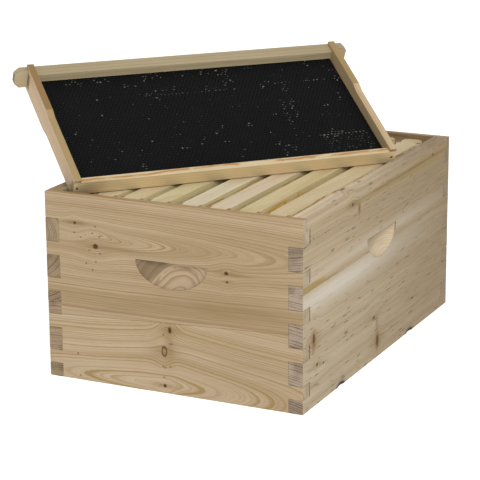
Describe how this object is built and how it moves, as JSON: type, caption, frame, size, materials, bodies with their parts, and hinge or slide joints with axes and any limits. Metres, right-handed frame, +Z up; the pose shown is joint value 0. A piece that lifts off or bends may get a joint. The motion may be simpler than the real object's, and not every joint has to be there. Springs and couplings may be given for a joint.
{
  "type": "langstroth hive box",
  "caption": "Deep finger-jointed wooden hive box with handholds, filled with hanging frames of black foundation and one more frame leaning across its open top.",
  "frame": {"origin": "middle of the front board's bottom edge, where the box stands on what is under it", "axes": "+Z up; +Y from the front handhold board to the back one, along the frames; +X to the right, seen from the front"},
  "size_m": [0.484, 0.5048, 0.3738],
  "materials": {
    "end_board_cedar": "planed, unfinished",
    "side_board_cedar": "planed, unfinished",
    "frame_pine": "planed, unfinished",
    "black_foundation": "moulded cells with wax specks",
    "nail_steel": "plain wire nail"
  },
  "bodies": {
    "box": {"front_board_lower": "end_board_cedar", "front_board_upper": "end_board_cedar", "back_board_lower": "end_board_cedar", "back_board_upper": "end_board_cedar", "right_board_lower": "side_board_cedar", "right_board_upper": "side_board_cedar", "left_board_lower": "side_board_cedar", "left_board_upper": "side_board_cedar"},
    "hung_frame_1": {"hung_frame_1_top_bar": "frame_pine", "hung_frame_1_front_end_bar": "frame_pine", "hung_frame_1_back_end_bar": "frame_pine", "hung_frame_1_bottom_bar": "frame_pine", "hung_frame_1_foundation": "black_foundation"},
    "hung_frame_2": {"hung_frame_2_top_bar": "frame_pine", "hung_frame_2_front_end_bar": "frame_pine", "hung_frame_2_back_end_bar": "frame_pine", "hung_frame_2_bottom_bar": "frame_pine", "hung_frame_2_foundation": "black_foundation"},
    "hung_frame_3": {"hung_frame_3_top_bar": "frame_pine", "hung_frame_3_front_end_bar": "frame_pine", "hung_frame_3_back_end_bar": "frame_pine", "hung_frame_3_bottom_bar": "frame_pine", "hung_frame_3_foundation": "black_foundation"},
    "hung_frame_4": {"hung_frame_4_top_bar": "frame_pine", "hung_frame_4_front_end_bar": "frame_pine", "hung_frame_4_back_end_bar": "frame_pine", "hung_frame_4_bottom_bar": "frame_pine", "hung_frame_4_foundation": "black_foundation"},
    "hung_frame_5": {"hung_frame_5_top_bar": "frame_pine", "hung_frame_5_front_end_bar": "frame_pine", "hung_frame_5_back_end_bar": "frame_pine", "hung_frame_5_bottom_bar": "frame_pine", "hung_frame_5_foundation": "black_foundation"},
    "hung_frame_6": {"hung_frame_6_top_bar": "frame_pine", "hung_frame_6_front_end_bar": "frame_pine", "hung_frame_6_back_end_bar": "frame_pine", "hung_frame_6_bottom_bar": "frame_pine", "hung_frame_6_foundation": "black_foundation"},
    "hung_frame_7": {"hung_frame_7_top_bar": "frame_pine", "hung_frame_7_front_end_bar": "frame_pine", "hung_frame_7_back_end_bar": "frame_pine", "hung_frame_7_bottom_bar": "frame_pine", "hung_frame_7_foundation": "black_foundation"},
    "leaning_frame": {"leaning_frame_top_bar": "frame_pine", "leaning_frame_left_end_bar": "frame_pine", "leaning_frame_right_end_bar": "frame_pine", "leaning_frame_bottom_bar": "frame_pine", "leaning_frame_foundation": "black_foundation", "leaning_frame_left_top_nail": "nail_steel", "leaning_frame_left_foot_nail": "nail_steel", "leaning_frame_left_side_nail": "nail_steel", "leaning_frame_right_top_nail": "nail_steel", "leaning_frame_right_foot_nail": "nail_steel", "leaning_frame_right_side_nail": "nail_steel"}
  },
  "joints": [
    {"name": "leaning_frame_lift", "type": "slide", "parent": "box", "child": "leaning_frame", "axis": [0, 0, 1], "range_m": [0, 0.75]},
    {"name": "hung_frame_1_lift", "type": "slide", "parent": "box", "child": "hung_frame_1", "axis": [0, 0, 1], "range_m": [0, 0.25]},
    {"name": "hung_frame_2_lift", "type": "slide", "parent": "box", "child": "hung_frame_2", "axis": [0, 0, 1], "range_m": [0, 0.25]},
    {"name": "hung_frame_3_lift", "type": "slide", "parent": "box", "child": "hung_frame_3", "axis": [0, 0, 1], "range_m": [0, 0.25]},
    {"name": "hung_frame_4_lift", "type": "slide", "parent": "box", "child": "hung_frame_4", "axis": [0, 0, 1], "range_m": [0, 0.25]},
    {"name": "hung_frame_5_lift", "type": "slide", "parent": "box", "child": "hung_frame_5", "axis": [0, 0, 1], "range_m": [0, 0.25]},
    {"name": "hung_frame_6_lift", "type": "slide", "parent": "box", "child": "hung_frame_6", "axis": [0, 0, 1], "range_m": [0, 0.25]},
    {"name": "hung_frame_7_lift", "type": "slide", "parent": "box", "child": "hung_frame_7", "axis": [0, 0, 1], "range_m": [0, 0.25]}
  ],
  "couplings": [
    {"joint": "hung_frame_1_lift", "follows": "leaning_frame_lift", "ratio": 0.33333},
    {"joint": "hung_frame_2_lift", "follows": "leaning_frame_lift", "ratio": 0.33333},
    {"joint": "hung_frame_3_lift", "follows": "leaning_frame_lift", "ratio": 0.33333},
    {"joint": "hung_frame_4_lift", "follows": "leaning_frame_lift", "ratio": 0.33333},
    {"joint": "hung_frame_5_lift", "follows": "leaning_frame_lift", "ratio": 0.33333},
    {"joint": "hung_frame_6_lift", "follows": "leaning_frame_lift", "ratio": 0.33333},
    {"joint": "hung_frame_7_lift", "follows": "leaning_frame_lift", "ratio": 0.33333}
  ]
}
